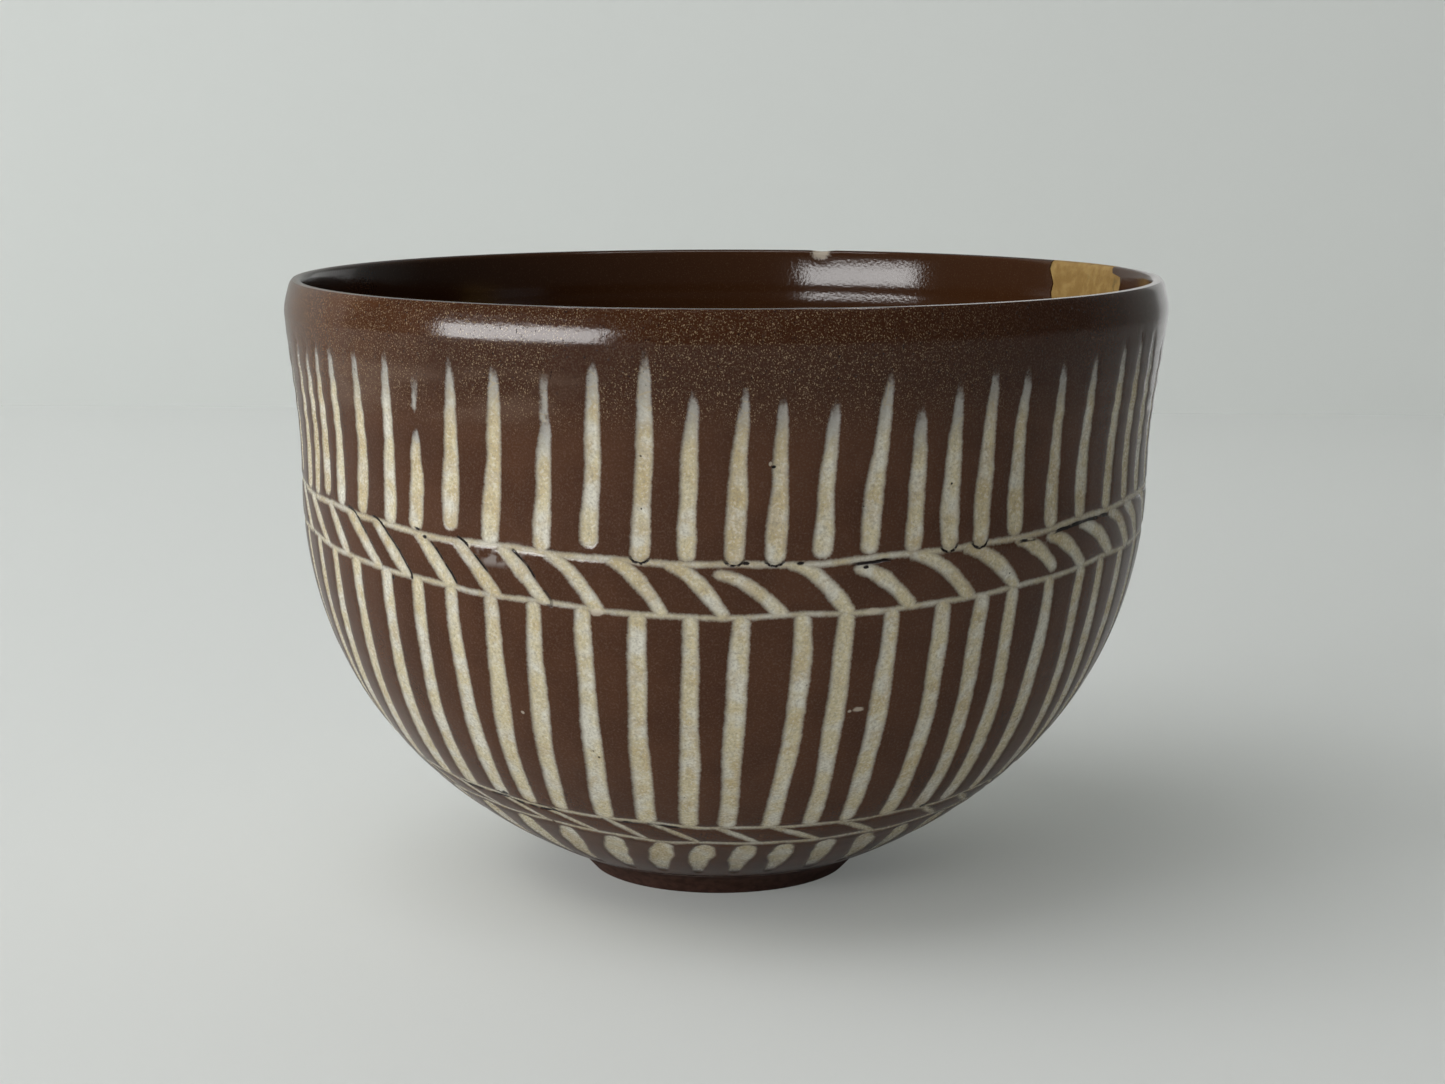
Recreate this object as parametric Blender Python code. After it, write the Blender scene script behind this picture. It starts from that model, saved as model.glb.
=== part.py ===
# A thrown stoneware tea bowl. Lines and strokes are cut into its outside and filled with pale
# slip, and a chip lost from its rim is made good with gilded lacquer.
# Z points up, X to the right and -Y to the front. The bowl stands on Z = 0, centred on its rim.
import random
from math import cos, pi, radians, sin, sqrt

import bmesh
import bpy
from mathutils import Matrix, Vector

for old_object in list(bpy.data.objects):
    bpy.data.objects.remove(old_object, do_unlink=True)

MM = 0.001

# Turned shape
HEIGHT = 84.0 * MM
RIM_RADIUS = 61.1 * MM
BELLY_RADIUS = 59.0 * MM
FLARE_HEIGHT = 22.2 * MM
FOOT_RADIUS = 18.7 * MM
FOOT_FLARE = 2.2 * MM
FOOT_HEIGHT = 3.0 * MM
SKIRT_STEP = 2.1 * MM
SKIRT_UNDERCUT = 0.8 * MM
FOOT_RING_WIDTH = 4.2 * MM
FOOT_EDGE = 0.5 * MM
FOOT_HOLLOW = 3.2 * MM
FLOOR_THICKNESS = 4.8 * MM
WALL = 3.6 * MM
LIP_WIDTH = 3.0 * MM
LIP_HEIGHT = 4.6 * MM
LEAN = 1.0 * MM
SEGMENTS = 40
BELLY_STEPS = 6
FLARE_STEPS = 2
INSIDE_STEPS = 5
LIP_TURNS = (45.0, 90.0, 135.0)
MERGE_DISTANCE = 0.001 * MM
SHARP_ANGLE = radians(40.0)

# Slopes and fullness of the curves, as angles and shares of each curve's own span
SKIRT_SLOPE = radians(25.0)
SKIRT_FULLNESS = 0.61
BELLY_FULLNESS = 0.51
FLARE_FULLNESS = 0.37
FLARE_SLOPE = radians(9.0)
WELL_FULLNESS = 0.62
WELL_DEPTH = 0.66

# Inlaid lines: each one dips at the front and the back. The upper band widens to the right and
# the lower one hangs lower there
UPPER_LINE_DROP = 3.75 * MM
UPPER_BAND_WIDTH = 6.35 * MM
UPPER_BAND_SPREAD = 0.9 * MM
UNDER_LINE_LIFT = 8.85 * MM
LOWER_BAND_WIDTH = 3.15 * MM
UPPER_LINE_WIDTH = 1.0 * MM
LOWER_LINE_WIDTH = 0.7 * MM
UPPER_LINE_RISE = 3.7 * MM
LOWER_LINE_RISE = 3.2 * MM
UPPER_LINE_STATIONS = 32
LOWER_LINE_STATIONS = 24
LOWER_LINE_TILT = 1.3 * MM

# Depth of each cut, a little different so that no two floors fall in one plane
UPPER_LINE_DEPTH = 0.50 * MM
LOWER_LINE_DEPTH = 0.46 * MM
RIM_STROKE_DEPTH = 0.55 * MM
SLASH_DEPTH = 0.60 * MM
BODY_STROKE_DEPTH = 0.64 * MM
LOWER_SLASH_DEPTH = 0.52 * MM
FOOT_STROKE_DEPTH = 0.58 * MM
CUTTER_LIFT = 1.2 * MM

# Widths of the strokes at their widest, and how far they stay off the lines
RIM_STROKE_WIDTH = 2.7 * MM
SLASH_WIDTH = 2.0 * MM
BODY_STROKE_WIDTH = 2.5 * MM
LOWER_SLASH_WIDTH = 0.9 * MM
FOOT_STROKE_WIDTH = 3.1 * MM
STROKE_GAP = 0.3 * MM
FOOT_STROKE_END = 1.6 * MM
HAND_WANDER = 0.5

# Rim strokes seen from the front: angles of the round end and of the tip to the right of the
# front, in degrees, and how far the tip stays below the rim, in millimetres
RIM_STROKES = (
    (-69.9, -69.1, 7.5), (-65.7, -64.5, 7.5), (-61.7, -60.9, 7.0), (-57.1, -56.7, 7.0),
    (-51.5, -50.2, 6.7), (-45.6, -44.3, 6.8), (-40.8, -39.3, 9.5), (-35.0, -33.5, 7.0),
    (-29.0, -27.4, 7.2), (-22.2, -20.6, 9.0), (-16.0, -15.0, 6.2), (-9.8, -8.9, 6.0),
    (-4.5, -3.6, 9.8), (1.1, 2.2, 9.5), (6.0, 6.6, 10.5), (11.5, 12.6, 11.0), (17.3, 18.9, 7.8),
    (23.0, 23.1, 12.0), (27.8, 27.7, 9.5), (32.3, 32.7, 7.8), (37.5, 37.6, 8.5), (44.1, 43.8, 8.0),
    (50.2, 50.0, 7.5), (57.0, 57.3, 6.5), (63.0, 62.2, 6.2), (68.7, 67.9, 6.5),
)
RIM_STROKE_COUNT = 58
RIM_STROKE_SHAPE = ((1.0, 0.25), (0.15, 1.0), (0.0, 0.5))
UNSEEN_TIP_DROPS = (7.0, 12.0)

# Slashes seen from the front, from their upper to their lower end, in degrees
SLASHES = (
    (-70.5, -62.5), (-61.5, -55.5), (-56.5, -47.5), (-50.0, -42.5), (-41.8, -34.8), (-34.7, -28.3),
    (-28.5, -21.8), (-21.5, -15.3), (-14.2, -7.3), (-7.2, 0.3), (-0.7, 7.4), (7.2, 15.2),
    (16.0, 23.3), (22.8, 31.2), (30.2, 39.0), (38.3, 45.5), (44.2, 52.0), (50.5, 60.0), (58.0, 66.3),
)
SLASH_COUNT = 50
SLASH_SHAPE = ((0.05, 0.5), (0.55, 0.9), (1.0, 1.0))
SLASH_BEND = 1.5

# Body strokes seen from the front, from their upper to their lower end, in degrees
BODY_STROKES = (
    (-66.5, -79.0), (-60.7, -75.0), (-54.1, -65.5), (-47.2, -56.4), (-41.3, -48.1), (-35.3, -40.4),
    (-29.5, -34.7), (-23.6, -28.7), (-16.9, -20.3), (-10.3, -12.8), (-3.8, -5.6), (2.1, 1.1),
    (9.6, 8.9), (14.6, 16.1), (20.4, 22.9), (27.6, 31.5), (33.4, 38.4), (38.4, 45.0),
    (45.1, 52.5), (51.8, 61.3), (57.3, 70.6), (64.0, 77.0),
)
BODY_STROKE_COUNT = 53
BODY_STROKE_STATIONS = (0.0, 0.35, 0.7, 1.0)

# Slashes of the lower band and the short strokes under it, in degrees
LOWER_SLASHES = (
    (-53.5, -45.5), (-42.5, -34.0), (-34.5, -24.3), (-21.5, -14.3), (-13.5, -4.0), (-2.5, 8.0),
    (9.0, 21.3), (23.0, 33.5), (38.0, 48.0),
)
LOWER_SLASH_COUNT = 34
FOOT_STROKES = (
    (-41.0, -47.5), (-32.0, -38.5), (-22.3, -26.0), (-12.3, -14.5), (-3.3, -6.0), (5.0, 3.7),
    (13.7, 14.3), (22.5, 27.0), (31.3, 37.5), (39.7, 47.5),
)
FOOT_STROKE_COUNT = 37
FOOT_STROKE_TAPER = 0.6

# The chip in the rim: its outline as millimetres along the rim, positive towards the back, and
# millimetres below the rim's top
CHIP_ANGLE = 113.0
CHIP_OUTLINE = (
    (-6.4, -3.0), (-7.2, 0.6), (-10.2, 1.4), (-10.4, 3.0), (-9.2, 6.0), (-8.2, 9.4), (-4.2, 12.4),
    (2.0, 14.0), (7.6, 12.6), (9.9, 9.0), (9.5, 5.0), (10.3, 2.0), (10.6, -3.0),
)
CHIP_REACH = 12.0 * MM
REPAIR_GAP = 0.3 * MM


def material(name, colour, roughness, metallic=0.0, coat=0.0):
    made = bpy.data.materials.new(name)
    made.use_nodes = True
    shader = made.node_tree.nodes["Principled BSDF"]
    shader.inputs["Base Color"].default_value = (*colour, 1.0)
    shader.inputs["Roughness"].default_value = roughness
    shader.inputs["Metallic"].default_value = metallic
    shader.inputs["Coat Weight"].default_value = coat
    made.diffuse_color = (*colour, 1.0)
    return made


GLAZE = material("brown_glaze", (0.071, 0.032, 0.023), 0.25, coat=0.6)
SLIP = material("pale_slip", (0.56, 0.50, 0.33), 0.45)
CLAY = material("bare_clay", (0.070, 0.028, 0.018), 0.85)
GOLD = material("gilded_lacquer", (0.42, 0.24, 0.06), 0.40, metallic=0.7)


def bezier(start, start_handle, end_handle, end, steps):
    """Points along a curve in the (radius, height) plane, without its first one."""
    points = []
    for step in range(1, steps + 1):
        t = step / steps
        s = 1.0 - t
        weights = (s * s * s, 3.0 * s * s * t, 3.0 * s * t * t, t * t * t)
        corners = (start, start_handle, end_handle, end)
        points.append(tuple(sum(w * c[axis] for w, c in zip(weights, corners)) for axis in (0, 1)))
    return points


# The outside, from the foot's edge up to where the lip starts to round over
skirt_radius = FOOT_RADIUS + FOOT_FLARE + SKIRT_STEP
skirt_height = FOOT_HEIGHT + SKIRT_UNDERCUT
lip_start = HEIGHT - LIP_HEIGHT
belly_height = lip_start - FLARE_HEIGHT
belly_span = belly_height - skirt_height
skirt_reach = (BELLY_RADIUS - skirt_radius) * SKIRT_FULLNESS

foot_side = [
    (FOOT_RADIUS - FOOT_EDGE, 0.0),
    (FOOT_RADIUS, FOOT_EDGE),
    (FOOT_RADIUS + FOOT_FLARE, FOOT_HEIGHT),
    (skirt_radius, skirt_height),
]
belly = bezier(
    (skirt_radius, skirt_height),
    (skirt_radius + skirt_reach * cos(SKIRT_SLOPE), skirt_height + skirt_reach * sin(SKIRT_SLOPE)),
    (BELLY_RADIUS, belly_height - belly_span * BELLY_FULLNESS),
    (BELLY_RADIUS, belly_height),
    BELLY_STEPS,
)
flare_reach = FLARE_HEIGHT * FLARE_FULLNESS
flare = bezier(
    (BELLY_RADIUS, belly_height),
    (BELLY_RADIUS, belly_height + flare_reach),
    (RIM_RADIUS - flare_reach * sin(FLARE_SLOPE), lip_start - flare_reach * cos(FLARE_SLOPE)),
    (RIM_RADIUS, lip_start),
    FLARE_STEPS,
)
outside = [foot_side[-1]] + belly + flare

# The lip is half an oval, and the inside runs down from it to the middle of the well
lip_centre = RIM_RADIUS - LIP_WIDTH / 2.0
lip = [
    (lip_centre + cos(turn) * LIP_WIDTH / 2.0, lip_start + sin(turn) * LIP_HEIGHT)
    for turn in (radians(degrees) for degrees in LIP_TURNS)
]
inner_radius = BELLY_RADIUS - WALL
well_height = FOOT_HOLLOW + FLOOR_THICKNESS
inside = [(lip_centre - LIP_WIDTH / 2.0, lip_start)] + bezier(
    (inner_radius, belly_height),
    (inner_radius, belly_height - (belly_height - well_height) * WELL_DEPTH),
    (inner_radius * WELL_FULLNESS, well_height),
    (0.0, well_height),
    INSIDE_STEPS,
)
inside.insert(1, (inner_radius, belly_height))
hollow_radius = FOOT_RADIUS - FOOT_RING_WIDTH
foot_hollow = [
    (0.0, FOOT_HOLLOW),
    (hollow_radius - FOOT_HOLLOW / 2.0, FOOT_HOLLOW),
    (hollow_radius, FOOT_EDGE),
    (hollow_radius + FOOT_EDGE, 0.0),
]
lean = Matrix(((1.0, 0.0, LEAN / HEIGHT, -LEAN), (0, 1, 0, 0), (0, 0, 1, 0), (0, 0, 0, 1)))


def finish(name, bm, materials, cutter=False):
    """Make an object of the mesh, leaned with the bowl, its faces turned outwards."""
    bmesh.ops.transform(bm, matrix=lean, verts=bm.verts)
    bmesh.ops.recalc_face_normals(bm, faces=bm.faces)
    mesh = bpy.data.meshes.new(name)
    bm.to_mesh(mesh)
    bm.free()
    for slot in materials:
        mesh.materials.append(slot)
    made = bpy.data.objects.new(name, mesh)
    bpy.context.collection.objects.link(made)
    if cutter:
        made.hide_render = True
        made.display_type = 'WIRE'
    return made


def turned(name, materials):
    """Spin the whole section once round the axis."""
    section = foot_hollow + foot_side + belly + flare + lip + inside
    bm = bmesh.new()
    verts = [bm.verts.new((radius, 0.0, height)) for radius, height in section]
    edges = [bm.edges.new(pair) for pair in zip(verts, verts[1:])]
    bmesh.ops.spin(
        bm, geom=verts + edges, cent=(0.0, 0.0, 0.0), axis=(0.0, 0.0, 1.0),
        angle=2.0 * pi, steps=SEGMENTS, use_merge=True,
    )
    bmesh.ops.remove_doubles(bm, verts=bm.verts, dist=MERGE_DISTANCE)
    return finish(name, bm, materials)


def wall_at(height):
    """Radius of the outside at a height, and the slope of its normal (outwards, upwards)."""
    for (low_radius, low), (high_radius, high) in zip(outside, outside[1:]):
        if height <= high or (high_radius, high) == outside[-1]:
            break
    share = (height - low) / (high - low)
    radius = low_radius + (high_radius - low_radius) * share
    length = sqrt((high - low) ** 2 + (high_radius - low_radius) ** 2)
    return radius, ((high - low) / length, (low_radius - high_radius) / length)


def on_wall(angle, height):
    """Point and outward normal on the outside, the angle measured from the front to the right."""
    radius, (outward, upward) = wall_at(height)
    turn = radians(angle)
    point = Vector((radius * sin(turn), -radius * cos(turn), height))
    normal = Vector((outward * sin(turn), -outward * cos(turn), upward))
    return point, normal


def add_channel(bm, stations, depth, closed=False):
    """Add one cutter that follows stations of (angle, height, width) along the outside."""
    placed = [on_wall(angle, height) for angle, height, _ in stations]
    count = len(placed)
    if not closed:
        halfway = [(first + last) / 2.0 for first, last in zip(stations[0], stations[-1])]
        facing = on_wall(halfway[0], halfway[1])[1]
        placed = [(point, facing) for point, _ in placed]
    corners = []
    for index, (point, normal) in enumerate(placed):
        before = placed[(index - 1) % count if closed else max(index - 1, 0)][0]
        after = placed[(index + 1) % count if closed else min(index + 1, count - 1)][0]
        side = (after - before).cross(normal).normalized() * stations[index][2] / 2.0
        corners.append([
            bm.verts.new(point + side - normal * depth),
            bm.verts.new(point - side - normal * depth),
            bm.verts.new(point - side + normal * CUTTER_LIFT),
            bm.verts.new(point + side + normal * CUTTER_LIFT),
        ])
    spans = count if closed else count - 1
    for index in range(spans):
        near = corners[index]
        far = corners[(index + 1) % count]
        for corner in range(4):
            following = (corner + 1) % 4
            bm.faces.new((near[corner], near[following], far[following], far[corner]))
    if not closed:
        bm.faces.new(corners[0])
        bm.faces.new(corners[-1])


def channels(name, paths, depth, closed=False):
    """One cutter object made of many separate channels."""
    bm = bmesh.new()
    for stations in paths:
        add_channel(bm, stations, depth, closed)
    return finish(name, bm, [SLIP], cutter=True)


def upper_line(angle):
    turn = radians(angle)
    return belly_height - UPPER_LINE_DROP + UPPER_LINE_RISE * sin(turn) ** 2


def upper_band_width(angle):
    return UPPER_BAND_WIDTH + UPPER_BAND_SPREAD * sin(radians(angle))


def under_upper_line(angle):
    return upper_line(angle) - upper_band_width(angle)


def under_lower_line(angle):
    turn = radians(angle)
    return skirt_height + UNDER_LINE_LIFT + LOWER_LINE_RISE * sin(turn) ** 2 - LOWER_LINE_TILT * sin(turn)


def lower_line(angle):
    return under_lower_line(angle) + LOWER_BAND_WIDTH


def ring(line, width, count):
    turns = (360.0 * (index + 0.5) / count for index in range(count))
    return [(turn, line(turn), width) for turn in turns]


def all_round(front, count, seed):
    """The strokes seen from the front, and evenly spaced ones by an unsteady hand behind."""
    hand = random.Random(seed)
    strokes = list(front)
    unseen = count - len(front)
    for index in range(1, unseen + 1):
        share = index / (unseen + 1)
        start, end = (
            last + (first + 360.0 - last) * share
            for first, last in zip(front[0][:2], front[-1][:2])
        )
        wander = hand.uniform(-HAND_WANDER, HAND_WANDER)
        strokes.append((start + wander, end + wander))
    return strokes


def rim_strokes():
    hand = random.Random(4)
    turns = all_round([stroke[:2] for stroke in RIM_STROKES], RIM_STROKE_COUNT, seed=9)
    tip_drops = [tip_drop for _, _, tip_drop in RIM_STROKES]
    while len(tip_drops) < RIM_STROKE_COUNT:
        tip_drops.append(hand.uniform(*UNSEEN_TIP_DROPS))
    paths = []
    for (angle, tip), tip_drop in zip(turns, tip_drops):
        low = upper_line(angle) + UPPER_LINE_WIDTH / 2.0 + STROKE_GAP
        high = HEIGHT - tip_drop * MM
        paths.append([
            (angle + (tip - angle) * share, low + (high - low) * share, RIM_STROKE_WIDTH * width)
            for share, width in RIM_STROKE_SHAPE
        ])
    return paths


def slashes():
    margin = UPPER_LINE_WIDTH / 2.0 + STROKE_GAP
    paths = []
    for start, end in all_round(SLASHES, SLASH_COUNT, seed=5):
        path = []
        for share, width in SLASH_SHAPE:
            angle = start + (end - start) * share
            drop = margin + (upper_band_width(angle) - 2.0 * margin) * share ** SLASH_BEND
            path.append((angle, upper_line(angle) - drop, SLASH_WIDTH * width))
        paths.append(path)
    return paths


def body_strokes():
    paths = []
    for start, end in all_round(BODY_STROKES, BODY_STROKE_COUNT, seed=6):
        high = under_upper_line(start) - UPPER_LINE_WIDTH / 2.0 - STROKE_GAP
        low = lower_line(end) + LOWER_LINE_WIDTH / 2.0 + STROKE_GAP
        paths.append([
            (start + (end - start) * share ** 2, high + (low - high) * share, BODY_STROKE_WIDTH)
            for share in BODY_STROKE_STATIONS
        ])
    return paths


def lower_slashes():
    paths = []
    margin = LOWER_LINE_WIDTH / 2.0 + STROKE_GAP
    for start, end in all_round(LOWER_SLASHES, LOWER_SLASH_COUNT, seed=7):
        paths.append([
            (start, lower_line(start) - margin, LOWER_SLASH_WIDTH),
            (end, under_lower_line(end) + margin, LOWER_SLASH_WIDTH),
        ])
    return paths


def foot_strokes():
    paths = []
    for start, end in all_round(FOOT_STROKES, FOOT_STROKE_COUNT, seed=8):
        high = under_lower_line(start) - LOWER_LINE_WIDTH / 2.0 - STROKE_GAP
        low = skirt_height + FOOT_STROKE_END
        paths.append([
            (start, high, FOOT_STROKE_WIDTH),
            (end, low, FOOT_STROKE_WIDTH * FOOT_STROKE_TAPER),
        ])
    return paths


def inset(outline, distance):
    """Move each side of an outline inwards and find its new corners."""
    points = [Vector(corner) for corner in outline]
    moved = []
    for before, corner, after in zip(points[-1:] + points[:-1], points, points[1:] + points[:1]):
        arriving = (corner - before).normalized()
        leaving = (after - corner).normalized()
        inward = Vector((-arriving.y, arriving.x)) + Vector((-leaving.y, leaving.x))
        moved.append(corner + inward * distance / (1.0 + arriving.dot(leaving)))
    return moved


def chip_prism(name, outline):
    """The chip's outline as a prism that passes straight through the wall."""
    bm = bmesh.new()
    faces = []
    for reach in (-CHIP_REACH, CHIP_REACH):
        verts = [bm.verts.new((RIM_RADIUS + reach, along, height)) for along, height in outline]
        faces.append(bm.faces.new(verts))
    bmesh.ops.bridge_loops(bm, edges=list(faces[0].edges) + list(faces[1].edges))
    bmesh.ops.triangulate(bm, faces=bm.faces)
    turn = Matrix.Rotation(radians(CHIP_ANGLE - 90.0), 3, 'Z')
    bmesh.ops.rotate(bm, cent=(0.0, 0.0, 0.0), matrix=turn, verts=bm.verts)
    return finish(name, bm, [GLAZE], cutter=True)


def cut(target, cutter, operation='DIFFERENCE'):
    modifier = target.modifiers.new(cutter.name, 'BOOLEAN')
    modifier.operation = operation
    modifier.solver = 'EXACT'
    modifier.material_mode = 'TRANSFER'
    modifier.object = cutter


def shade(target):
    target.data.shade_smooth()
    target.data.set_sharp_from_angle(angle=SHARP_ANGLE)


# The bowl, with every line and stroke cut into it and the chip taken out of its rim
bowl = turned("bowl", [GLAZE, CLAY])
for face in bowl.data.polygons:
    face.material_index = int(face.center.z < FOOT_HEIGHT + FOOT_EDGE and face.normal.z < 0.9)
shade(bowl)
upper_rings = [ring(line, UPPER_LINE_WIDTH, UPPER_LINE_STATIONS) for line in (upper_line, under_upper_line)]
lower_rings = [ring(line, LOWER_LINE_WIDTH, LOWER_LINE_STATIONS) for line in (lower_line, under_lower_line)]
cut(bowl, channels("upper_line_cutters", upper_rings, UPPER_LINE_DEPTH, closed=True))
cut(bowl, channels("lower_line_cutters", lower_rings, LOWER_LINE_DEPTH, closed=True))
cut(bowl, channels("rim_stroke_cutters", rim_strokes(), RIM_STROKE_DEPTH))
cut(bowl, channels("slash_cutters", slashes(), SLASH_DEPTH))
cut(bowl, channels("body_stroke_cutters", body_strokes(), BODY_STROKE_DEPTH))
cut(bowl, channels("lower_slash_cutters", lower_slashes(), LOWER_SLASH_DEPTH))
cut(bowl, channels("foot_stroke_cutters", foot_strokes(), FOOT_STROKE_DEPTH))
chip = [(along * MM, HEIGHT - drop * MM) for along, drop in CHIP_OUTLINE]
cut(bowl, chip_prism("chip_cutter", chip))

# The repair fills the chip, flush with the lip, as a piece of the same turned section
gold_repair = turned("gold_repair", [GOLD])
shade(gold_repair)
cut(gold_repair, chip_prism("repair_limit", inset(chip, REPAIR_GAP)), 'INTERSECT')
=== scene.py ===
# A thrown stoneware tea bowl with inlaid pale slip, its chipped rim made good in gilded lacquer
import math
import random

import bpy
import numpy as np
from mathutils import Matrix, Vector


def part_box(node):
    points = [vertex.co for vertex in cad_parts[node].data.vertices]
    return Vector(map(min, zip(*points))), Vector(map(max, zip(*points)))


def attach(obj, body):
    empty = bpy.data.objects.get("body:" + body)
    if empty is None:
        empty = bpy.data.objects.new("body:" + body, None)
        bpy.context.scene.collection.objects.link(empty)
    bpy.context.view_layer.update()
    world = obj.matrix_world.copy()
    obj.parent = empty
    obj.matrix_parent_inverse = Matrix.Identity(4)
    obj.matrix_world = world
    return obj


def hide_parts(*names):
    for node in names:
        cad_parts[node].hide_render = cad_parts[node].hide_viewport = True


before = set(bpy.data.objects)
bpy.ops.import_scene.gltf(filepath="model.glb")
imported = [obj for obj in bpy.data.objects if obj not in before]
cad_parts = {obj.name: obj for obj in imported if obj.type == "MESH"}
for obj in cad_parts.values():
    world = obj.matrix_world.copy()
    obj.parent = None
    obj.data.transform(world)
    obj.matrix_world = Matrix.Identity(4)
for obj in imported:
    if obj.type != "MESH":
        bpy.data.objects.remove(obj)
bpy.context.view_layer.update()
MM = 0.001

# The camera stands a little above the rim, in front of the bowl, and looks slightly down.
CAMERA_PLACE = (-0.00052, -0.3696, 0.1089)
CAMERA_PITCH = math.radians(80.36)
CAMERA_LENS = 65.8
CAMERA_FILM_WIDTH = 36.0

bpy.ops.object.camera_add(location=CAMERA_PLACE, rotation=(CAMERA_PITCH, 0.0, 0.0))
camera = bpy.context.object
camera.data.lens = CAMERA_LENS
camera.data.sensor_width = CAMERA_FILM_WIDTH
bpy.context.scene.camera = camera
bpy.context.scene.view_settings.view_transform = 'Standard'

# A plain pale floor that runs back to a plain pale wall, turned a little from the camera. Part of
# their colour is a flat grey for the camera, and a dimmer one for what the glaze mirrors.
FLOOR_SIZE = 4.0
FLOOR_COLOUR = (0.78, 0.80, 0.785, 1.0)
WALL_COLOUR = (0.72, 0.745, 0.725, 1.0)
STAGE_GREY = (0.47, 0.49, 0.47, 1.0)
STAGE_GREY_SHARE = 0.25
MIRRORED_GREY = (0.09, 0.088, 0.085, 1.0)
MIRRORED_GREY_SHARE = 0.5
WALL_DISTANCE = 0.546
WALL_TURN = math.radians(-3.4)
STAGE_ROUGHNESS = 0.6


def plain_stage(name, colour, **placing):
    bpy.ops.mesh.primitive_plane_add(size=FLOOR_SIZE, **placing)
    plane = bpy.context.object
    plane.name = name
    made = bpy.data.materials.new(name)
    made.use_nodes = True
    nodes, link = made.node_tree.nodes, made.node_tree.links.new
    shader = nodes["Principled BSDF"]
    shader.inputs["Base Color"].default_value = colour
    shader.inputs["Roughness"].default_value = STAGE_ROUGHNESS
    shader.inputs["Specular IOR Level"].default_value = 0.0
    rays = nodes.new('ShaderNodeLightPath')
    shown = shader
    for ray, colour_seen, share in (
        ("Is Camera Ray", STAGE_GREY, STAGE_GREY_SHARE),
        ("Is Glossy Ray", MIRRORED_GREY, MIRRORED_GREY_SHARE),
    ):
        grey = nodes.new('ShaderNodeEmission')
        grey.inputs["Color"].default_value = colour_seen
        part = nodes.new('ShaderNodeMath')
        part.operation = 'MULTIPLY'
        part.inputs[1].default_value = share
        blend = nodes.new('ShaderNodeMixShader')
        link(rays.outputs[ray], part.inputs[0])
        link(part.outputs[0], blend.inputs[0])
        link(shown.outputs[0], blend.inputs[1])
        link(grey.outputs[0], blend.inputs[2])
        shown = blend
    link(shown.outputs[0], nodes["Material Output"].inputs["Surface"])
    plane.data.materials.append(made)


plain_stage("floor", FLOOR_COLOUR, location=(0.0, 0.0, 0.0))
plain_stage(
    "wall", WALL_COLOUR, location=(0.0, WALL_DISTANCE, 0.0), rotation=(math.pi / 2.0, 0.0, WALL_TURN),
)

# Soft light: large lamps from the left and a dim grey from all round. The glaze mirrors only a
# pane at the front left, a long strip overhead and a pale patch behind on the right. For each
# lamp: degrees to the right and up, distance, width and height in metres, watts, the rays lit.
LIGHTS = (
    ("left", -80.0, 32.0, 1.6, 1.6, 1.4, 12.0, "diffuse"),
    ("front_left", -44.0, 17.0, 1.3, 0.84, 0.32, 7.4, "diffuse"),
    ("high", -60.0, 66.0, 1.3, 1.0, 1.0, 5.5, "diffuse"),
    ("pane", -46.0, 24.4, 0.242, 0.157, 0.064, 0.47, "glossy"),
    ("overhead", -5.0, 78.0, 1.3, 1.3, 0.18, 8.0, "glossy"),
    ("right_edge", 156.0, 8.0, 0.45, 0.26, 0.28, 0.10, "glossy"),
)
SURROUND = (0.084, 0.082, 0.077, 1.0)

for name, azimuth, elevation, distance, width, tall, watts, seen in LIGHTS:
    turn, rise = math.radians(azimuth), math.radians(elevation)
    level = distance * math.cos(rise)
    bpy.ops.object.light_add(
        type='AREA',
        location=(level * math.sin(turn), -level * math.cos(turn), distance * math.sin(rise)),
        rotation=(math.pi / 2.0 - rise, 0.0, turn),
    )
    lamp = bpy.context.object
    lamp.name = name
    lamp.visible_camera = False
    lamp.visible_diffuse = seen == "diffuse"
    lamp.visible_glossy = seen == "glossy"
    lamp.data.shape = 'RECTANGLE'
    lamp.data.size = width
    lamp.data.size_y = tall
    lamp.data.energy = watts
world = bpy.data.worlds.new("surround")
world.use_nodes = True
world.node_tree.nodes["Background"].inputs["Color"].default_value = SURROUND
bpy.context.scene.world = world

# The bowl is one piece of stoneware, thrown on a wheel and turned at the foot. Its section runs
# from the middle of the foot's hollow over the outside and the lip to the middle of the well.
bowl_low, bowl_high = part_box("bowl")
height = bowl_high.z / MM
rim_radius = (bowl_high.y - bowl_low.y) / 2.0 / MM
LEAN = 1.0
FOOT_RADIUS = 18.7
FOOT_EDGE = 0.5
FOOT_HOLLOW_RADIUS = 14.5
FOOT_HOLLOW = 3.2
SKIRT = (23.0, 3.8)
BELLY_RADIUS = 59.0
BELLY_HEIGHT = 57.2
LIP_START = height - 4.6
LIP_SHOULDER = (rim_radius - 0.55, height - 1.1)
LIP_CREST = (rim_radius - 1.2, height)
LIP_INNER = (rim_radius - 1.9, height)
LIP_UNDERSIDE = (rim_radius - 2.45, height - 0.5)
WALL = 3.6
WELL_HEIGHT = 8.0
COLUMNS = 480
SMOOTH_BELOW = math.radians(40.0)
FOOT_SPACING = 1.5
LIP_SPACING = 0.48
INSIDE_SPACING = 3.2
WALL_SPACING = ((20.0, 22.0, 44.0, 45.0, 59.0, 61.0), (0.68, 0.9, 0.9, 0.5, 0.5, 0.85))


def curve(*corners, count=80):
    """Points (radius, height) along the Bezier curve of four corners."""
    start, start_handle, end_handle, end = (np.array(corner) for corner in corners)
    t = np.linspace(0.0, 1.0, count)[:, None]
    s = 1.0 - t
    return s**3 * start + 3.0 * s**2 * t * start_handle + 3.0 * s * t**2 * end_handle + t**3 * end


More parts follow.
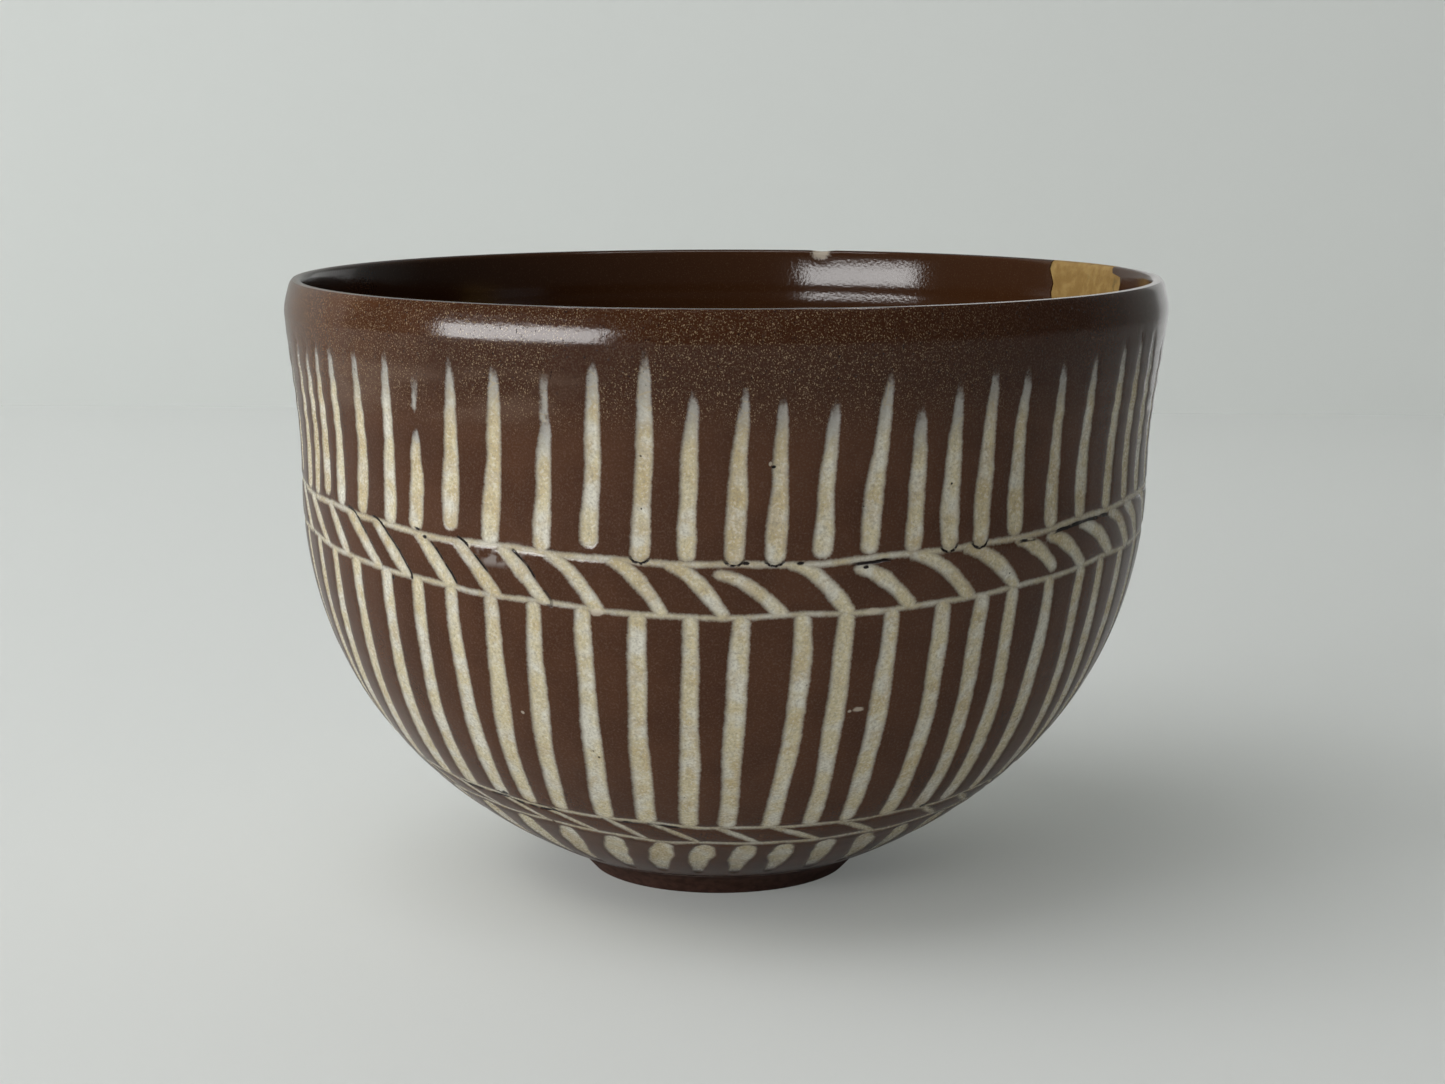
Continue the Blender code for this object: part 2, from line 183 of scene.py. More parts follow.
def spaced(points, spacing):
    """The same path with its points a spacing apart, which may change along it."""
    points = np.array(points)
    spacing = np.broadcast_to(spacing, len(points))
    steps = np.hypot(*np.diff(points, axis=0).T) / ((spacing[1:] + spacing[:-1]) / 2.0)
    travelled = np.concatenate(([0.0], np.cumsum(steps)))
    wanted = np.linspace(0.0, travelled[-1], round(travelled[-1]) + 1)
    return np.stack([np.interp(wanted, travelled, column) for column in points.T], axis=1)


foot = [
    (0.0, FOOT_HOLLOW), (FOOT_HOLLOW_RADIUS - 1.6, FOOT_HOLLOW), (FOOT_HOLLOW_RADIUS, FOOT_EDGE),
    (FOOT_HOLLOW_RADIUS + FOOT_EDGE, 0.0), (FOOT_RADIUS - FOOT_EDGE, 0.0),
    (FOOT_RADIUS, FOOT_EDGE), (FOOT_RADIUS + 2.2, SKIRT[1] - 0.8), SKIRT,
]
wall = np.vstack([
    curve(SKIRT, (42.9, 13.1), (BELLY_RADIUS, 30.0), (BELLY_RADIUS, BELLY_HEIGHT), count=300),
    curve(
        (BELLY_RADIUS, BELLY_HEIGHT), (BELLY_RADIUS, 66.1), (rim_radius - 0.75, LIP_START - 8.0),
        (rim_radius, LIP_START), count=120,
    )[1:],
])
wall_gaps = np.interp(wall[:, 1], *WALL_SPACING)
lip = np.vstack([
    curve(
        (rim_radius, LIP_START), (rim_radius + 0.08, LIP_START + 1.1), (rim_radius - 0.2, height - 2.4),
        LIP_SHOULDER,
    ),
    curve(LIP_SHOULDER, (LIP_SHOULDER[0] - 0.1, height - 0.6), (LIP_CREST[0] + 0.3, height), LIP_CREST)[1:],
    curve(LIP_CREST, (LIP_CREST[0] - 0.2, height), (LIP_INNER[0] + 0.2, height), LIP_INNER)[1:],
    curve(
        LIP_INNER, (LIP_INNER[0] - 0.4, height), (rim_radius - 2.38, height - 0.25), LIP_UNDERSIDE,
    )[1:],
])
# Under the lip the inside is steep, with one shallow throwing ring: its slopes in degrees at depths
RING_SLOPES = (
    (0.5, 1.1, 3.4, 5.7, 6.0, 6.3, 6.7, 8.1, 8.6, 9.3),
    (12.5, 8.2, 5.6, 3.8, -0.6, -0.6, 4.3, 3.9, 0.2, 0.2),
)
depths = np.linspace(RING_SLOPES[0][0], RING_SLOPES[0][-1], 45)
inward = np.tan(np.radians(np.interp(depths[1:], *RING_SLOPES))) * np.diff(depths)
lip = np.vstack([lip, np.stack([LIP_UNDERSIDE[0] - np.cumsum(inward), height - depths[1:]], axis=1)])
inner_radius = BELLY_RADIUS - WALL
inside = np.vstack([
    curve(lip[-1], lip[-1] - (0.3, 3.4), (inner_radius, 64.0), (inner_radius, BELLY_HEIGHT)),
    curve(
        (inner_radius, BELLY_HEIGHT), (inner_radius, 24.7), (inner_radius * 0.62, WELL_HEIGHT),
        (0.0, WELL_HEIGHT),
    )[1:],
])
section = np.vstack([
    spaced(foot, FOOT_SPACING), spaced(wall, wall_gaps)[1:], spaced(lip, LIP_SPACING)[1:],
    spaced(inside, INSIDE_SPACING)[1:],
])
section[0, 0] = section[-1, 0] = 0.0

bpy.ops.object.select_all(action='DESELECT')
bpy.ops.mesh.primitive_plane_add(size=MM)
bowl = bpy.context.object
bowl.name = "inlaid_bowl"
bpy.ops.object.mode_set(mode='EDIT')
bpy.ops.mesh.merge(type='CENTER')
bpy.ops.transform.translate(value=(0.0, 0.0, section[0, 1] * MM))
for out, up in np.diff(section, axis=0) * MM:
    bpy.ops.mesh.extrude_region_move(TRANSFORM_OT_translate={"value": (out, 0.0, up)})
bpy.ops.mesh.select_all(action='SELECT')
bpy.ops.mesh.spin(steps=COLUMNS, angle=math.tau, center=(0.0, 0.0, 0.0), axis=(0.0, 0.0, 1.0))
bpy.ops.mesh.select_all(action='SELECT')
bpy.ops.mesh.remove_doubles(threshold=0.001 * MM)
bpy.ops.mesh.normals_make_consistent(inside=False)
bpy.ops.object.mode_set(mode='OBJECT')

# The chip is a ragged bite out of the rim at the back right. A prism of its outline cuts the bowl,
# and a second, smaller one keeps the repair out of a copy of the whole turned shape.
CHIP_ANGLE = 113.0
CHIP_OUTLINE = (
    (-6.4, -3.0), (-6.6, -0.2), (-7.3, 0.9), (-10.2, 1.3), (-10.6, 2.2), (-10.2, 3.6), (-9.3, 5.2),
    (-9.4, 7.0), (-8.0, 9.4), (-4.2, 12.2), (2.0, 13.8), (7.2, 12.4), (8.9, 9.0), (8.6, 6.8),
    (9.2, 4.8), (8.9, 3.4), (10.1, 1.2), (9.9, -0.2), (10.4, -3.0),
)
REPAIR_GAP = 0.06
CHIP_REACH = 12.0


def chip_prism(name, gap):
    """The chip's outline, moved inwards by a gap, as a prism that passes through the wall."""
    middle = np.array(CHIP_OUTLINE).mean(axis=0)
    corners = []
    for corner in np.array(CHIP_OUTLINE):
        inward = (middle - corner) / np.linalg.norm(middle - corner)
        along, drop = corner + inward * gap
        corners.append(((rim_radius - CHIP_REACH) * MM, along * MM, (height - drop) * MM))
    bpy.ops.object.select_all(action='DESELECT')
    bpy.ops.mesh.primitive_plane_add(size=MM)
    prism = bpy.context.object
    prism.name = name
    bpy.ops.object.mode_set(mode='EDIT')
    bpy.ops.mesh.merge(type='CENTER')
    bpy.ops.transform.translate(value=corners[0])
    for here, there in zip(corners, corners[1:]):
        step = [far - near for near, far in zip(here, there)]
        bpy.ops.mesh.extrude_region_move(TRANSFORM_OT_translate={"value": step})
    bpy.ops.mesh.select_all(action='SELECT')
    bpy.ops.mesh.edge_face_add()
    through = (2.0 * CHIP_REACH * MM, 0.0, 0.0)
    bpy.ops.mesh.extrude_region_move(TRANSFORM_OT_translate={"value": through})
    bpy.ops.mesh.select_all(action='SELECT')
    bpy.ops.mesh.normals_make_consistent(inside=False)
    bpy.ops.object.mode_set(mode='OBJECT')
    prism.rotation_euler.z = math.radians(CHIP_ANGLE - 90.0)
    bpy.ops.object.transform_apply(location=False, rotation=True, scale=False)
    return prism


def cut(piece, prism, operation):
    """Cut a piece with a prism and take the prism away."""
    bpy.ops.object.select_all(action='DESELECT')
    bpy.context.view_layer.objects.active = piece
    modifier = piece.modifiers.new(prism.name, 'BOOLEAN')
    modifier.operation = operation
    modifier.solver = 'EXACT'
    modifier.object = prism
    bpy.ops.object.modifier_apply(modifier=modifier.name)
    bpy.data.objects.remove(prism)


bpy.ops.object.select_all(action='DESELECT')
bowl.select_set(True)
bpy.context.view_layer.objects.active = bowl
bpy.ops.object.duplicate()
repair = bpy.context.object
repair.name = "gold_rim_repair"
cut(bowl, chip_prism("chip", 0.0), 'DIFFERENCE')
cut(repair, chip_prism("repair_limit", REPAIR_GAP), 'INTERSECT')

# Lines and strokes are cut in the leather-hard clay and filled with pale slip. Angles are in
# degrees from the front to the right, heights and widths in millimetres.
NEAR = 3.0
FULL_COVER = 3.0
USUAL_STAIN = 0.4
UPPER_LINE_WIDTH = 0.86
UNDER_LINE_WIDTH = 0.76
LOWER_LINE_WIDTH = 0.68
RIM_STROKE_WIDTH = 2.6
SLASH_WIDTH = 1.95
SLASH_OVERLAP = 0.1
BODY_STROKE_WIDTH = 2.5
LOWER_SLASH_WIDTH = 1.2
FOOT_STROKE_WIDTH = 3.4
FOOT_STROKE_END = 5.4
PATH_POINTS = 17

# Share of the full width at shares of the way along a stroke
RIM_STROKE_SHAPE = ((0.0, 0.12, 0.41, 0.6, 0.78, 0.92, 1.0), (0.95, 1.0, 0.86, 0.77, 0.61, 0.40, 0.10))
BODY_STROKE_SHAPE = ((0.0, 0.1, 0.4, 0.9, 1.0), (0.86, 0.88, 1.0, 1.0, 0.95))
FOOT_STROKE_SHAPE = ((0.0, 0.25, 0.6, 1.0), (0.85, 1.0, 0.75, 0.4))
SLASH_SHAPE = ((0.0, 0.15, 0.5, 1.0), (0.6, 0.8, 1.0, 0.95))
LOWER_SLASH_SHAPE = ((0.0, 0.5, 1.0), (0.6, 1.0, 0.75))

# Lines: height at the front, rise towards the sides and back, and fall towards the right
UPPER_LINE = (53.4, 3.5, 0.2)
UNDER_LINE = (46.85, 4.2, 0.55)
FOOT_LINE = (12.65, 3.2, 1.3)
LOWER_BAND_WIDTH = 3.15
LOWER_LINE = (FOOT_LINE[0] + LOWER_BAND_WIDTH, *FOOT_LINE[1:])

# Rim strokes: angle of the round end, lean to the right, how far the tip stays below the rim, how
# far the end stays above the line, and the length over which the tip fades
RIM_STROKES = (
    (-69.9, 0.8, 7.5, -0.4, 2.5), (-65.7, 1.2, 8.0, -0.4, 2.5), (-61.7, 0.9, 7.2, 0.3, 2.5),
    (-57.1, 0.5, 7.0, -0.2, 2.5), (-51.5, 1.2, 6.7, -0.2, 3.0), (-45.6, 1.3, 6.8, -0.5, 3.0),
    (-40.8, 0.9, 16.4, -0.5, 1.0), (-35.0, 1.4, 7.0, 0.6, 3.0), (-29.0, 1.6, 7.2, -0.4, 3.0),
    (-22.2, 1.2, 12.6, -0.4, 3.0), (-16.0, 1.0, 6.2, 0.8, 3.0), (-9.8, 0.8, 5.0, -0.5, 4.5),
    (-4.5, 0.9, 9.8, -0.4, 3.0), (1.1, 1.1, 9.5, -0.6, 2.5), (6.0, 0.6, 10.5, -0.6, 2.5),
    (11.5, 1.1, 11.0, 0.0, 3.0), (17.3, 1.5, 7.8, 0.0, 3.5), (23.0, 0.1, 12.2, -0.4, 3.0),
    (27.8, -0.1, 9.5, -0.7, 3.5), (32.3, 0.4, 7.8, -0.8, 3.0), (37.5, 0.1, 8.5, -0.3, 3.0),
    (44.1, -0.3, 8.0, -0.4, 3.0), (50.2, -0.2, 7.5, -0.4, 3.0), (57.0, 0.3, 6.5, -0.4, 3.0),
    (63.0, -0.9, 6.2, -0.4, 3.0), (68.7, -0.8, 6.5, -0.4, 3.0),
)
RIM_STROKE_COUNT = 58
TIP_RISE = 0.7
FADE_STRETCH = 1.3
# Two of them end in a thin smear: angle, lean, lower and upper end below the rim, and width
SMEARS = ((-39.9, 0.8, 13.4, 8.8, 0.9), (-21.3, 0.4, 13.2, 7.4, 1.0))

# Slashes: angles of the upper and the lower end, and how far these stay off the two lines
SLASHES = (
    (-69.0, -62.7, 0.0, 0.0), (-61.0, -56.3, 0.0, 0.0), (-55.0, -48.7, 0.0, 0.0),
    (-49.0, -43.0, 0.0, 0.0), (-40.7, -35.3, 0.0, 0.0), (-34.3, -28.7, 0.0, 0.0),
    (-27.7, -22.0, 0.0, 0.0), (-21.3, -15.3, 0.0, 0.0), (-13.7, -7.3, 0.0, 0.0),
    (-6.7, 0.0, 0.2, 0.0), (-0.7, 7.0, 1.2, 0.0), (7.7, 15.0, 0.0, 0.0), (16.0, 23.0, 1.1, 0.0),
    (22.9, 31.3, 0.0, 0.0), (30.3, 38.7, 0.3, 0.0), (38.3, 45.3, 0.5, 1.3), (44.0, 52.0, 0.9, 0.0),
    (50.7, 59.7, 0.6, 0.0), (58.3, 66.0, 0.4, 0.0), (64.0, 71.0, 0.4, 0.0),
)
SLASH_COUNT = 50

# Body strokes, the slashes of the lower band and the short strokes over the foot: angles of the
# upper and the lower end
BODY_STROKES = (
    (-66.5, -74.0), (-60.5, -71.0), (-54.0, -63.5), (-47.2, -55.0), (-41.3, -48.0), (-35.4, -40.5),
    (-29.6, -34.7), (-23.6, -28.7), (-17.0, -20.4), (-10.4, -13.0), (-3.8, -5.6), (2.0, 1.0),
    (9.6, 8.9), (14.7, 16.0), (20.5, 22.8), (27.6, 31.3), (33.4, 38.2), (38.4, 44.8), (45.0, 52.2),
    (51.8, 61.5), (57.2, 67.5), (63.8, 73.0),
)
BODY_STROKE_COUNT = 53
LOWER_SLASHES = (
    (-54.0, -45.7), (-42.0, -34.3), (-33.7, -24.3), (-21.3, -14.7), (-12.7, -4.0), (-1.0, 7.7),
    (9.0, 20.0), (22.0, 32.0), (38.7, 48.0),
)
LOWER_SLASH_COUNT = 34
FOOT_STROKES = (
    (-51.0, -58.0), (-41.6, -47.5), (-32.0, -38.5), (-22.0, -27.0), (-12.0, -16.7), (-3.3, -6.5),
    (5.3, 4.0), (13.8, 14.3), (22.7, 27.0), (32.0, 39.5), (41.0, 50.0), (52.0, 62.0),
)
FOOT_STROKE_COUNT = 37

places = np.empty(len(bowl.data.vertices) * 3)
bowl.data.vertices.foreach_get("co", places)
places = places.reshape(-1, 3) / MM
reach = np.hypot(places[:, 0], places[:, 1])
turns = np.degrees(np.arctan2(places[:, 0], -places[:, 1]))
heights = places[:, 2]
wall_reach = np.interp(heights, wall[:, 1], wall[:, 0])
outside = (np.abs(reach - wall_reach) < 0.05) & (heights > SKIRT[1] - 0.01) & (heights < LIP_START + 0.01)


def level_of(line, angle):
    """Height of a line at an angle from the front."""
    front, rise, fall = line
    side = np.sin(np.radians(angle))
    return front + rise * side**2 - fall * side


def all_round(front, count, seed):
    """The strokes seen from the front, and evenly spaced ones by an unsteady hand behind."""
    hand = random.Random(seed)
    strokes = list(front)
    unseen = count - len(front)
    for index in range(1, unseen + 1):
        share = index / (unseen + 1)
        start, end = (
            last + (first + 360.0 - last) * share
            for first, last in zip(front[0][:2], front[-1][:2])
        )
        wander = hand.uniform(-0.5, 0.5)
        strokes.append((start + wander, end + wander))
    return strokes


fields = {
    "stroke": np.full(len(places), -NEAR),
    "slash": np.full(len(places), -NEAR),
    "slash_side": np.zeros(len(places)),
    "cover": np.full(len(places), FULL_COVER),
    "stain": np.full(len(places), USUAL_STAIN),
    "outer_face": (outside | ((heights > LIP_START - 0.5) & (reach > rim_radius - 1.6))).astype(float),
}


def draw(field, angles, levels, half_widths, fade=0.0, stain=USUAL_STAIN):
    """Draw one stroke: its field is the distance inside its edge, and falls to -NEAR outside."""
    ends = np.stack([
        np.interp(levels, wall[:, 1], wall[:, 0]) * np.sin(np.radians(angles)),
        -np.interp(levels, wall[:, 1], wall[:, 0]) * np.cos(np.radians(angles)),
        levels,
    ], axis=1)
    margin = NEAR + half_widths.max()
    turned = np.abs((turns - angles.mean() + 180.0) % 360.0 - 180.0)
    width = np.ptp(angles) / 2.0 + np.degrees(margin / np.hypot(ends[:, 0], ends[:, 1]).min())
    near = np.flatnonzero(
        outside & (turned < width) & (heights > levels.min() - margin) & (heights < levels.max() + margin)
    )
    starts, spans = ends[:-1], np.diff(ends, axis=0)
    offsets = places[near][:, None] - starts
    share = np.clip((offsets * spans).sum(axis=2) / (spans * spans).sum(axis=1), 0.0, 1.0)
    apart = offsets - share[..., None] * spans
    inside_edge = half_widths[:-1] + np.diff(half_widths) * share - np.linalg.norm(apart, axis=2)
    best = inside_edge.argmax(axis=1)
    rows = np.arange(len(near))
    value = inside_edge[rows, best]
    better = value > fields[field][near]
    chosen = near[better]
    fields[field][chosen] = value[better]
    progress = ((best + share[rows, best]) / len(spans))[better]
    if field == "slash":
        right = np.stack([np.cos(np.radians(turns)), np.sin(np.radians(turns)), 0.0 * turns], axis=1)[near]
        leaning = (apart[rows, best] * right).sum(axis=1) + apart[rows, best][:, 2]
        fields["slash_side"][chosen] = leaning[better]
    else:
        length = np.linalg.norm(spans, axis=1).sum()
        fields["stain"][chosen] = stain
        if fade > 0.0:
            fields["cover"][chosen] = np.clip((1.0 - progress) * length / fade, 0.0, FULL_COVER)
        else:
            fields["cover"][chosen] = FULL_COVER


hand = random.Random(12)
shares = np.linspace(0.0, 1.0, PATH_POINTS)


def sway(size):
    """A slow sideways wander along a stroke, in degrees, as a brush or knife makes."""
    first, second = hand.uniform(0.0, 1.0), hand.uniform(0.0, 1.0)
    wave = np.sin(math.tau * (shares * 0.9 + first)) + 0.5 * np.sin(math.tau * (shares * 2.3 + second))
    return size * wave


def swell():
    """Small changes in a stroke's width."""
    return 1.0 + 0.07 * sway(1.0)


rim_hand = random.Random(4)
front = [(angle, angle + lean) for angle, lean, *_ in RIM_STROKES]
ends = [stroke[2:] for stroke in RIM_STROKES]
while len(ends) < RIM_STROKE_COUNT:
    drop, gap = rim_hand.uniform(7.0, 12.0), rim_hand.choice((-0.4, -0.2, 0.8))
    ends.append((drop, gap, rim_hand.uniform(2.5, 5.0)))
for (start, tip), (tip_drop, gap, fade) in zip(all_round(front, RIM_STROKE_COUNT, seed=9), ends):
    half = RIM_STROKE_WIDTH / 2.0 * hand.uniform(0.95, 1.05)
    low = level_of(UPPER_LINE, start) + UPPER_LINE_WIDTH / 2.0 + gap + half * 0.95
    high = height - tip_drop + TIP_RISE
    shape = np.interp(shares, *RIM_STROKE_SHAPE)
    draw(
        "stroke", start + (tip - start) * shares + sway(0.1), low + (high - low) * shares,
        half * shape * swell(), fade=fade * FADE_STRETCH, stain=hand.uniform(0.1, 0.9),
    )
for start, lean, low_drop, high_drop, width in SMEARS:
    levels = height - low_drop + (low_drop - high_drop) * shares
    draw("stroke", start + lean * shares, levels, width / 2.0 * swell(), fade=5.0, stain=1.0)
for start, end in all_round(BODY_STROKES, BODY_STROKE_COUNT, seed=6):
    half = BODY_STROKE_WIDTH / 2.0 * hand.uniform(0.95, 1.05)
    high = level_of(UNDER_LINE, start) - half * 0.5
    low = level_of(LOWER_LINE, end) + half * 0.6
    shape = np.interp(shares, *BODY_STROKE_SHAPE)
    draw(
        "stroke", start + (end - start) * shares**2 + sway(0.14), high + (low - high) * shares,
        half * shape * swell(), stain=hand.uniform(0.0, 0.5),
    )
for start, end in all_round(FOOT_STROKES, FOOT_STROKE_COUNT, seed=8):
    half = FOOT_STROKE_WIDTH / 2.0 * hand.uniform(0.9, 1.05)
    high = level_of(FOOT_LINE, start) - half * 0.75
    shape = np.interp(shares, *FOOT_STROKE_SHAPE)
    draw(
        "stroke", start + (end - start) * shares + sway(0.2), high + (FOOT_STROKE_END - high) * shares,
        half * shape * swell(), fade=1.2, stain=hand.uniform(0.2, 0.8),
    )
gaps = [slash[2:] for slash in SLASHES] + [(0.0, 0.0)] * (SLASH_COUNT - len(SLASHES))
turned_slashes = all_round([slash[:2] for slash in SLASHES], SLASH_COUNT, seed=5)
for (start, end), (top_gap, end_gap) in zip(turned_slashes, gaps):
    half = SLASH_WIDTH / 2.0 * hand.uniform(0.95, 1.08)
    bend = np.interp(start, (-30.0, -18.0), (1.2, 1.75))
    shape = np.interp(shares, *SLASH_SHAPE)
    high = level_of(UPPER_LINE, start) - SLASH_OVERLAP - top_gap
    low = level_of(UNDER_LINE, end) + SLASH_OVERLAP + end_gap
    levels = high + (low - high) * shares**bend
    draw("slash", start + (end - start) * shares, levels, half * shape * swell())
for start, end in all_round(LOWER_SLASHES, LOWER_SLASH_COUNT, seed=7):
    half = LOWER_SLASH_WIDTH / 2.0 * hand.uniform(0.9, 1.1)
    angles = start + (end - start) * shares
    levels = level_of(FOOT_LINE, angles) + LOWER_BAND_WIDTH * (1.0 - shares**1.15)
    draw("slash", angles, levels, half * np.interp(shares, *LOWER_SLASH_SHAPE))

# Each line drifts a little up and down as it goes round. Low down the wall slopes, so that a line
# there is further across than it is high
line_hand = np.random.default_rng(3)
ACROSS_SLOPE = 1.25
DRIFT = 0.09
LINES = {
    "upper_line": (UPPER_LINE, UPPER_LINE_WIDTH, 1.0),
    "under_line": (UNDER_LINE, UNDER_LINE_WIDTH, 1.0),
    "lower_line": (LOWER_LINE, LOWER_LINE_WIDTH, ACROSS_SLOPE),
    "foot_line": (FOOT_LINE, LOWER_LINE_WIDTH, ACROSS_SLOPE),
}
for name, (line, _, across) in LINES.items():
    drift = sum(
        DRIFT * np.sin(np.radians(turns) * turn_count + phase)
        for turn_count, phase in zip((5, 9, 14, 23), line_hand.uniform(0.0, math.tau, 4))
    )
    fields[name] = np.where(outside, (heights - level_of(line, turns) + drift) * across, 4.0 * NEAR)

# Slashes end in the lines on either side of them, and body strokes run from line to line
BETWEEN_BANDS = 30.0
MIDDLE_OF_UPPER_BAND = 51.5
high_up = heights > BETWEEN_BANDS
above_under = fields["under_line"] + UNDER_LINE_WIDTH / 2.0
below_upper = UPPER_LINE_WIDTH / 2.0 - fields["upper_line"]
above_foot = fields["foot_line"] + LOWER_LINE_WIDTH / 2.0
below_lower = LOWER_LINE_WIDTH / 2.0 - fields["lower_line"]
band = np.where(high_up, np.minimum(above_under, below_upper), np.minimum(above_foot, below_lower))
fields["slash"] = np.minimum(fields["slash"], band)
body = high_up & (heights < MIDDLE_OF_UPPER_BAND)
fields["stroke"][body] = np.minimum(fields["stroke"], UNDER_LINE_WIDTH / 2.0 - fields["under_line"])[body]

# The cut lines and strokes lie a little below the glaze, the thrown wall is never quite even, and
# a small flake has gone from the back of the lip
lines = np.maximum.reduce([LINES[name][1] / 2.0 - np.abs(fields[name]) for name in LINES])
GROOVE_DEPTH = 0.14
GROOVE_SLOPE = 0.6
THROWN_RINGS = (0.05, 70.0, 7.0)
OUT_OF_ROUND = (0.12, 0.06)
sunk = np.maximum.reduce([fields["stroke"], fields["slash"], lines])
sunk = np.clip(0.5 + sunk / GROOVE_SLOPE, 0.0, 1.0)
slope = np.gradient(wall[:, 0], wall[:, 1])
tilt = np.interp(heights, wall[:, 1], slope)
length = np.hypot(1.0, tilt)
push = -GROOVE_DEPTH * sunk * outside
rings = np.sin(heights * 1.9 + 0.6 * np.sin(np.radians(turns) * 2.0))
ring_depth, ring_height, ring_spread = THROWN_RINGS
push += ring_depth * rings * np.exp(-((heights - ring_height) / ring_spread) ** 2) * outside
radial = places[:, :2] / np.maximum(reach, 0.001)[:, None]
wobble = OUT_OF_ROUND[0] * np.sin(np.radians(turns) * 2.0 + 0.8)
wobble += OUT_OF_ROUND[1] * np.sin(np.radians(turns) * 5.0)
places[:, :2] += radial * (push / length + wobble * heights / height)[:, None]
places[:, 2] -= push * tilt / length
FLAKE = (15.4, 57.2, 83.5)
FLAKE_SIZE = 1.6
FLAKE_DEPTH = 0.25
flaked_away = np.clip(1.3 - np.linalg.norm(places - FLAKE, axis=1) / FLAKE_SIZE, 0.0, 1.0)
places[:, 2] -= FLAKE_DEPTH * flaked_away
places[:, 0] -= LEAN * (1.0 - places[:, 2] / height)
bowl.data.vertices.foreach_set("co", (places * MM).ravel())
for name, values in fields.items():
    bowl.data.attributes.new(name, 'FLOAT', 'POINT').data.foreach_set("value", values.astype(np.float32))
bowl.data.update()
bpy.ops.object.select_all(action='DESELECT')
bowl.select_set(True)
bpy.context.view_layer.objects.active = bowl
bpy.ops.object.shade_smooth_by_angle(angle=SMOOTH_BELOW)


class Socket:
    """A socket of a finish being mixed: sums and products of it add Math nodes."""

    def __init__(self, finish, socket):
        self.finish = finish
        self.socket = socket

    def math(self, operation, *values):
        return self.finish.add('ShaderNodeMath', {"operation": operation}, dict(enumerate(values)))

    def __add__(self, other):
        return self.math('ADD', self, other)

    def __sub__(self, other):
        return self.math('SUBTRACT', self, other)

    def __mul__(self, other):
        return self.math('MULTIPLY', self, other)

    def __rsub__(self, other):
        return self.math('SUBTRACT', other, self)

    def __abs__(self):
        return self.math('ABSOLUTE', self)

    def most(self, other):
        return self.math('MAXIMUM', self, other)

    def least(self, other):
        return self.math('MINIMUM', self, other)

    def between(self, low, high):
        """A smooth step from 0 at one value to 1 at the other."""
        return self.finish.add(
            'ShaderNodeMapRange', {"interpolation_type": 'SMOOTHSTEP'},
            {"Value": self, "From Min": low, "From Max": high},
        )

    __radd__ = __add__
    __rmul__ = __mul__


class Finish:
    """A material that is mixed node by node. Lengths in it are millimetres on the object."""

    def __init__(self, name):
        self.material = bpy.data.materials.new(name)
        self.material.use_nodes = True
        self.tree = self.material.node_tree
        self.shader = self.tree.nodes["Principled BSDF"]
        place = self.add('ShaderNodeTexCoord', output="Object")
        self.place = self.add(
            'ShaderNodeVectorMath', {"operation": 'SCALE'}, {"Vector": place, "Scale": 1.0 / MM},
        )
        self.up = self.add('ShaderNodeSeparateXYZ', inputs={0: self.place}, output="Z")
        self.ragged = self.noise(0.5) - 0.5

    def add(self, kind, settings=None, inputs=None, output=0):
        node = self.tree.nodes.new(kind)
        for name, value in (settings or {}).items():
            setattr(node, name, value)
        for key, value in (inputs or {}).items():
            self.join(node.inputs[key], value)
        return Socket(self, node.outputs[output])

    def join(self, socket, value):
        if isinstance(value, Socket):
            self.tree.links.new(value.socket, socket)
        else:
            socket.default_value = value

    def field(self, name):
        return self.add('ShaderNodeAttribute', {"attribute_name": name}, output="Fac")

    def noise(self, size, detail=2.0, stretch=None):
        place = self.place
        if stretch:
            place = self.add('ShaderNodeVectorMath', {"operation": 'MULTIPLY'}, {0: place, 1: stretch})
        inputs = {"Vector": place, "Scale": 1.0 / size, "Detail": detail}
        return self.add('ShaderNodeTexNoise', inputs=inputs)

    def mix(self, share, first, second):
        return self.add('ShaderNodeMix', {"data_type": 'RGBA'}, {0: share, 6: first, 7: second}, output=2)

    def near(self, point, size, stretch):
        """1 at a point of the object and 0 further from it than a size."""
        apart = self.add('ShaderNodeVectorMath', {"operation": 'SUBTRACT'}, {0: self.place, 1: point})
        apart = self.add('ShaderNodeVectorMath', {"operation": 'MULTIPLY'}, {0: apart, 1: stretch})
        apart = self.add('ShaderNodeVectorMath', {"operation": 'LENGTH'}, {0: apart}, "Value")
        return (apart + self.ragged * (size * 0.7)).between(size, size * 0.55)

    def put(self, name, value):
        self.join(self.shader.inputs[name], value)


# A brown iron glaze covers all but the foot. Under it the slip shows cream, grey or tan, with soft
# edges, and towards the rim the glaze is darker and full of fine pale specks.
GLAZE_BROWN = (0.070, 0.0270, 0.0115, 1.0)
GLAZE_DARK = (0.036, 0.0115, 0.0038, 1.0)
GLAZE_GREY = (0.120, 0.073, 0.050, 1.0)
GLAZE_RUST = (0.075, 0.028, 0.009, 1.0)
GLAZE_INSIDE = (0.040, 0.0150, 0.0055, 1.0)
GLAZE_SPECK = (0.30, 0.215, 0.125, 1.0)
# The pale grey below is a painted reflection on the glaze.
PAINTED_REFLECTION_GREY = (0.30, 0.27, 0.25, 1.0)
SLIP_CREAM = (0.58, 0.51, 0.335, 1.0)
SLIP_WHITE = (0.63, 0.605, 0.515, 1.0)
SLIP_FROST = (0.78, 0.77, 0.70, 1.0)
SLIP_TAN = (0.45, 0.34, 0.17, 1.0)
SLIP_EDGE = (0.27, 0.24, 0.195, 1.0)
SLIP_TIP = (0.30, 0.29, 0.27, 1.0)
# Nearly black: painted shade inside cracks and pits.
CREVICE_SHADE = (0.010, 0.005, 0.004, 1.0)
CLAY_RED = (0.075, 0.032, 0.021, 1.0)
CLAY_PALE = (0.60, 0.53, 0.42, 1.0)
